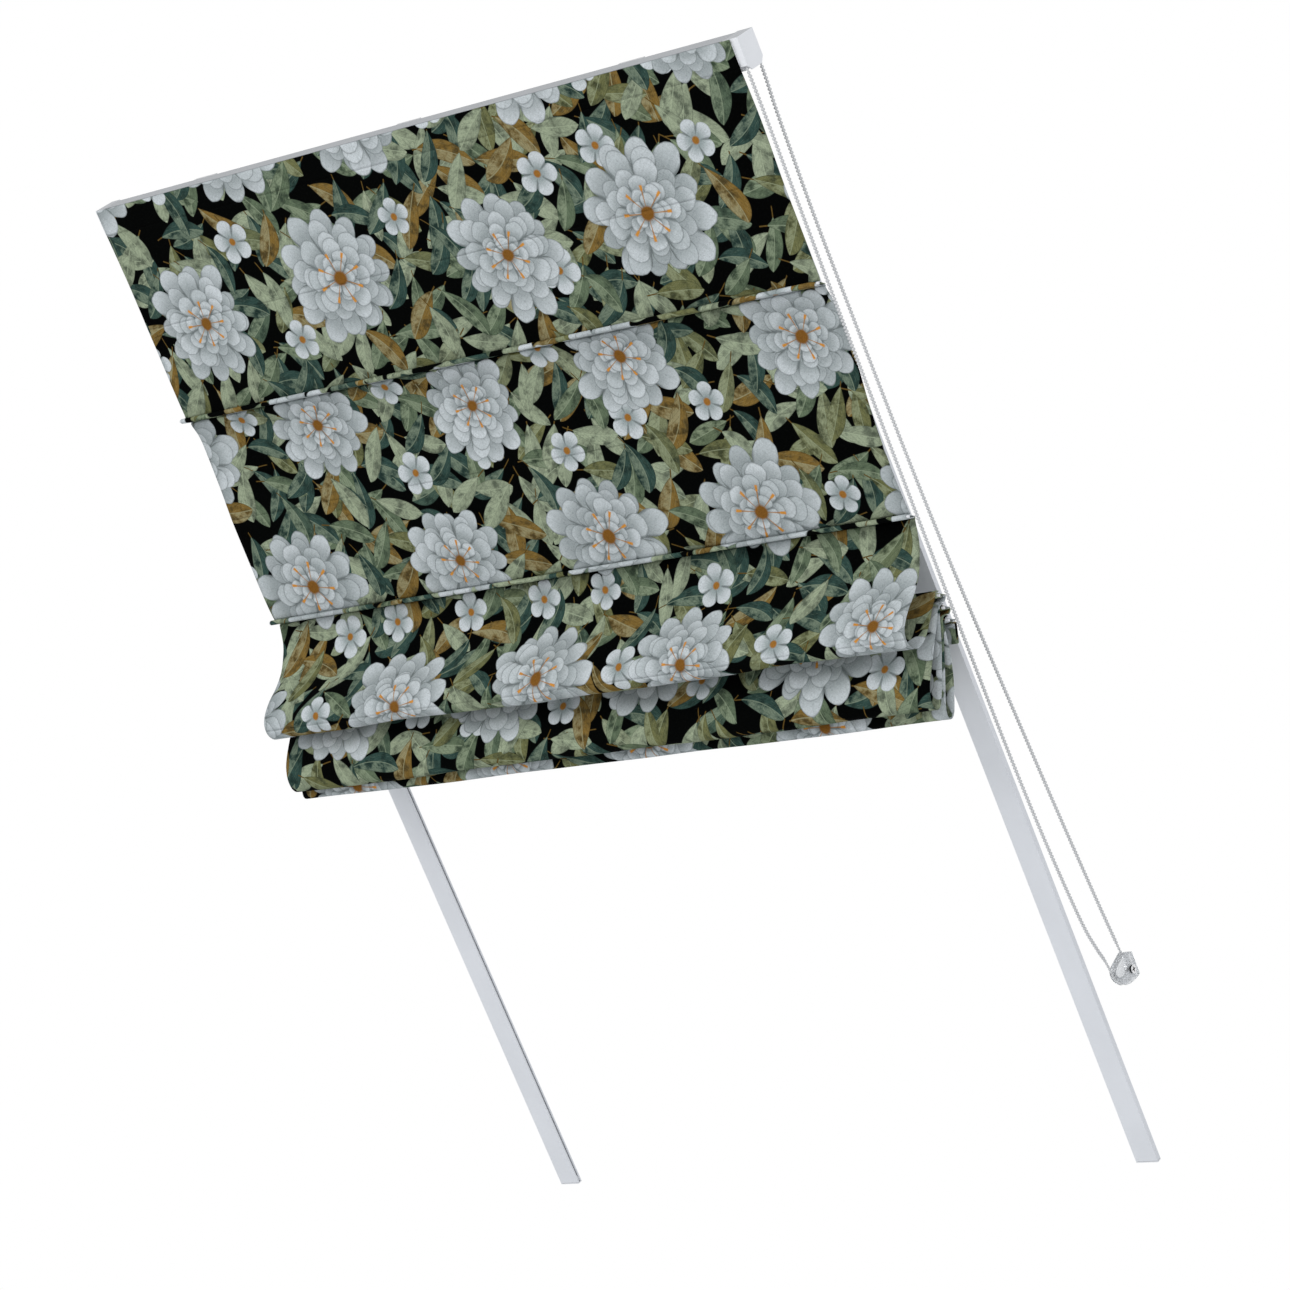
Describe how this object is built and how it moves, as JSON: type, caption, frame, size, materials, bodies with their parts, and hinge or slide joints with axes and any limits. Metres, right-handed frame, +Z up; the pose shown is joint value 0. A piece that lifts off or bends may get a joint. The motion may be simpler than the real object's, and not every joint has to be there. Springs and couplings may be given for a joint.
{
  "type": "skylight window blind",
  "caption": "Roman blind for a sloped roof window: headrail with chain drive, two side rails and a floral cloth shade that gathers in soft folds on cross rods.",
  "frame": {"origin": "middle of the back face of the middle ceiling clip, where the headrail is fixed on the sloping ceiling", "axes": "as installed: +Z up, +X right along the headrail, -Y towards the room; the ceiling slopes down towards +Y at 55.6 degrees from level"},
  "size_m": [0.9315, 0.7508, 1.0625],
  "materials": {
    "headrail_metal": "satin light grey",
    "rail_metal": "satin white",
    "white_plastic": "semi-gloss white",
    "zinc_steel": "zinc plated",
    "tape": "woven hook and loop",
    "chain_plastic": "smooth white",
    "clear_plastic": "clear",
    "screw_steel": "bright",
    "printed_cloth": "matte cotton with a floral print",
    "rod_plastic": "matte",
    "bar_metal": "satin white"
  },
  "bodies": {
    "frame": {"headrail_profile": "headrail_metal", "end_cap_plain": "white_plastic", "end_cap_chain": "white_plastic", "ceiling_clip_1": "zinc_steel", "ceiling_clip_2": "zinc_steel", "ceiling_clip_3": "zinc_steel", "heading_tape": "tape", "shade_heading": "printed_cloth", "side_rail_left": "rail_metal", "side_rail_right": "rail_metal", "rail_plug_left": "white_plastic", "rail_plug_right": "white_plastic", "spool_cradle_1": "white_plastic", "spool_cradle_2": "white_plastic", "spool_cradle_3": "white_plastic", "bead_chain": "chain_plastic", "tensioner_body": "clear_plastic", "tensioner_screw": "screw_steel"},
    "panel_1": {"panel_1_upper": "printed_cloth", "panel_1_lower": "printed_cloth"},
    "rod_set_1": {"rod_pocket_1": "printed_cloth", "rod_1": "rod_plastic", "runner_1_left": "white_plastic", "runner_1_right": "white_plastic"},
    "panel_2": {"panel_2_upper": "printed_cloth", "panel_2_lower": "printed_cloth"},
    "rod_set_2": {"rod_pocket_2": "printed_cloth", "rod_2": "rod_plastic", "runner_2_left": "white_plastic", "runner_2_right": "white_plastic"},
    "panel_3": {"panel_3_upper": "printed_cloth", "panel_3_lower": "printed_cloth"},
    "rod_set_3": {"rod_pocket_3": "printed_cloth", "rod_3": "rod_plastic", "runner_3_left": "white_plastic", "runner_3_right": "white_plastic"},
    "panel_4": {"panel_4_upper": "printed_cloth", "panel_4_lower": "printed_cloth"},
    "rod_set_4": {"rod_pocket_4": "printed_cloth", "rod_4": "rod_plastic", "runner_4_left": "white_plastic", "runner_4_right": "white_plastic"},
    "panel_5": {"panel_5_upper": "printed_cloth", "panel_5_lower": "printed_cloth"},
    "rod_set_5": {"rod_pocket_5": "printed_cloth", "rod_5": "rod_plastic", "runner_5_left": "white_plastic", "runner_5_right": "white_plastic", "bottom_hem": "printed_cloth", "bottom_bar": "bar_metal"},
    "drive": {"chain_wheel": "white_plastic", "lift_shaft": "zinc_steel", "cord_spool_1": "white_plastic", "cord_spool_2": "white_plastic", "cord_spool_3": "white_plastic"}
  },
  "joints": [
    {"name": "panel_1_fold", "type": "slide", "parent": "frame", "child": "panel_1", "axis": [0, -0.9896, -0.144], "range_m": [0, 0.09095], "deforming": ["panel_1_upper", "panel_1_lower"]},
    {"name": "rod_1_travel", "type": "slide", "parent": "panel_1", "child": "rod_set_1", "axis": [0, -0.1473, 0.9891], "range_m": [0, 0.18696]},
    {"name": "panel_2_fold", "type": "slide", "parent": "rod_set_1", "child": "panel_2", "axis": [0, -0.9882, -0.1529], "range_m": [0, 0.09289], "deforming": ["panel_2_upper", "panel_2_lower"]},
    {"name": "rod_2_travel", "type": "slide", "parent": "panel_2", "child": "rod_set_2", "axis": [0, -0.2021, 0.9794], "range_m": [0, 0.21689]},
    {"name": "panel_3_fold", "type": "slide", "parent": "rod_set_2", "child": "panel_3", "axis": [0, -0.9847, -0.1741], "range_m": [-0.09647, 0.04924], "deforming": ["panel_3_upper", "panel_3_lower"]},
    {"name": "rod_3_travel", "type": "slide", "parent": "panel_3", "child": "rod_set_3", "axis": [0, 0.0954, 0.9954], "range_m": [-0.13726, 0.07016]},
    {"name": "panel_4_fold", "type": "slide", "parent": "rod_set_3", "child": "panel_4", "axis": [0, -0.9884, -0.1516], "range_m": [-0.09237, 0], "deforming": ["panel_4_upper", "panel_4_lower"]},
    {"name": "rod_4_travel", "type": "slide", "parent": "panel_4", "child": "rod_set_4", "axis": [0, -0.2045, 0.9789], "range_m": [-0.21681, 0]},
    {"name": "panel_5_fold", "type": "slide", "parent": "rod_set_4", "child": "panel_5", "axis": [0, -0.9925, -0.1221], "range_m": [-0.07519, 0], "deforming": ["panel_5_upper", "panel_5_lower"]},
    {"name": "rod_5_travel", "type": "slide", "parent": "panel_5", "child": "rod_set_5", "axis": [0, -0.2709, 0.9626], "range_m": [-0.2086, 0]},
    {"name": "drive_turn", "type": "hinge", "parent": "frame", "child": "drive", "pos_m": [0, -0.01213, -0.0083], "axis": [1, 0, 0], "range_deg": [-1108.17, 565.88]}
  ],
  "couplings": [
    {"joint": "rod_1_travel", "follows": "panel_1_fold", "ratio": 2.0535},
    {"joint": "rod_2_travel", "follows": "panel_2_fold", "ratio": 2.3328},
    {"joint": "rod_3_travel", "follows": "panel_3_fold", "ratio": 1.4208},
    {"joint": "rod_4_travel", "follows": "panel_4_fold", "ratio": 2.345},
    {"joint": "rod_5_travel", "follows": "panel_5_fold", "ratio": 2.7717},
    {"joint": "drive_turn", "follows": "panel_3_fold", "rad_per_m": 200.4}
  ]
}
